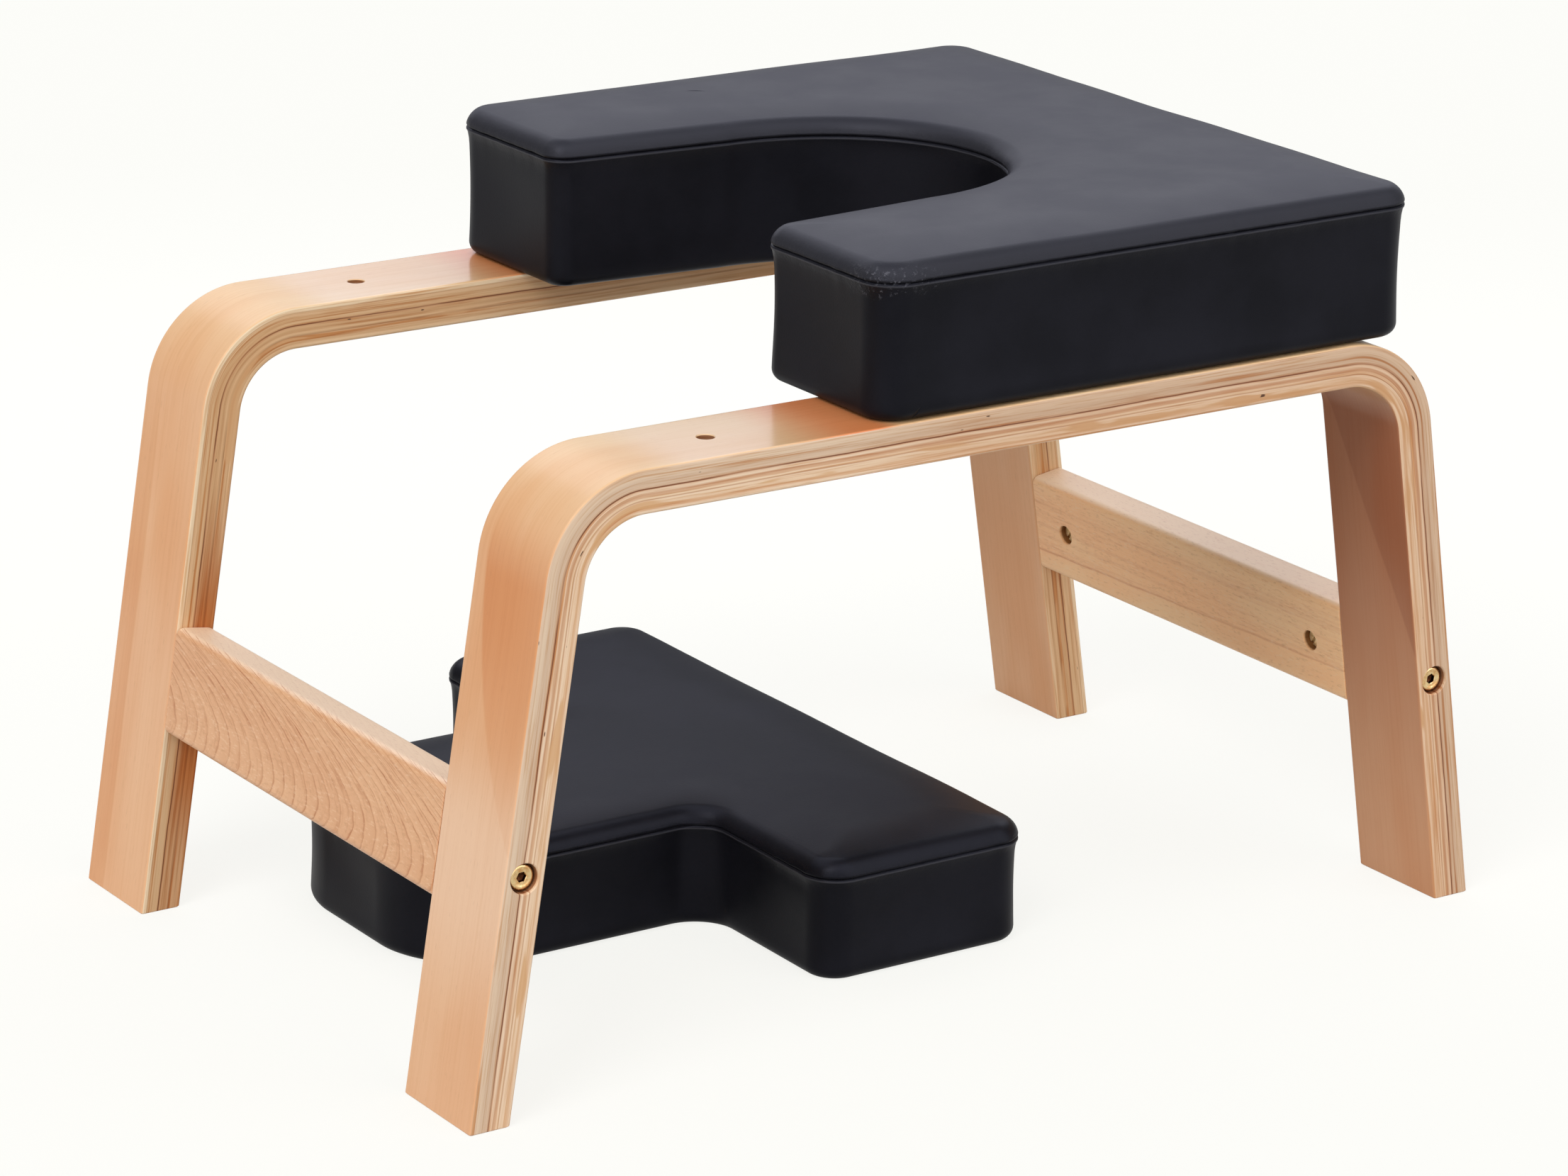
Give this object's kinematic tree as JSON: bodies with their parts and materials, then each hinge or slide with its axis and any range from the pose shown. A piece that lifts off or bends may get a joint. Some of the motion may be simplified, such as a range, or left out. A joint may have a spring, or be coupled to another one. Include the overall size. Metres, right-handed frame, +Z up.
{
  "type": "yoga headstand stool",
  "caption": "Bench-like stool with bent-plywood frames and a padded U-shaped shoulder rest for headstands, with a loose T-shaped pad that fills its cut-out.",
  "frame": {"origin": "on the floor, under the middle of the stool and its loose pad together", "axes": "+X along the side frames, from the side where the shoulder pad opens to its closed back; +Y across the stool, towards the far frame that the loose pad reaches under; +Z up"},
  "size_m": [0.585, 0.434, 0.3772],
  "materials": {
    "frame_veneer": "satin lacquered beech veneer, with the plies showing on the edges",
    "rail_beech": "satin lacquered solid beech",
    "dowel_wood": "bare turned beech",
    "pad_board": "bare plywood",
    "brass": "bright, lightly brushed",
    "steel": "zinc plated",
    "pad_cover": "black grained synthetic leather, satin",
    "pad_foam": "cream open-cell foam",
    "base_cloth": "black non-woven cloth"
  },
  "bodies": {
    "stool": {"near_side_frame": "frame_veneer", "far_side_frame": "frame_veneer", "front_rail": "rail_beech", "back_rail": "rail_beech", "rail_bolt_front_near": "brass", "rail_bolt_front_far": "brass", "rail_bolt_back_near": "brass", "rail_bolt_back_far": "brass", "barrel_nut_front_near": "brass", "barrel_nut_front_far": "brass", "barrel_nut_back_near": "brass", "barrel_nut_back_far": "brass", "dowel_front_near_lower": "dowel_wood", "dowel_front_near_upper": "dowel_wood", "dowel_front_far_lower": "dowel_wood", "dowel_front_far_upper": "dowel_wood", "dowel_back_near_lower": "dowel_wood", "dowel_back_near_upper": "dowel_wood", "dowel_back_far_lower": "dowel_wood", "dowel_back_far_upper": "dowel_wood", "shoulder_pad_board": "pad_board", "shoulder_pad_foam": "pad_foam", "shoulder_pad_top_cover": "pad_cover", "shoulder_pad_side_cover": "pad_cover", "shoulder_pad_base_cloth": "base_cloth", "shoulder_pad_insert_front_near": "steel", "shoulder_pad_insert_rear_near": "steel", "shoulder_pad_insert_front_far": "steel", "shoulder_pad_insert_rear_far": "steel", "pad_washer_front_near": "steel", "pad_washer_rear_near": "steel", "pad_washer_front_far": "steel", "pad_washer_rear_far": "steel", "pad_bolt_front_near": "steel", "pad_bolt_rear_near": "steel", "pad_bolt_front_far": "steel", "pad_bolt_rear_far": "steel"},
    "infill_pad": {"infill_pad_board": "pad_board", "infill_pad_foam": "pad_foam", "infill_pad_top_cover": "pad_cover", "infill_pad_side_cover": "pad_cover", "infill_pad_base_cloth": "base_cloth", "infill_pad_insert_near": "steel", "infill_pad_insert_far": "steel"}
  },
  "joints": [
    {"name": "infill_pad_slide", "type": "slide", "parent": "stool", "child": "infill_pad", "axis": [0, 1, 0], "range_m": [0, 0.33]}
  ]
}
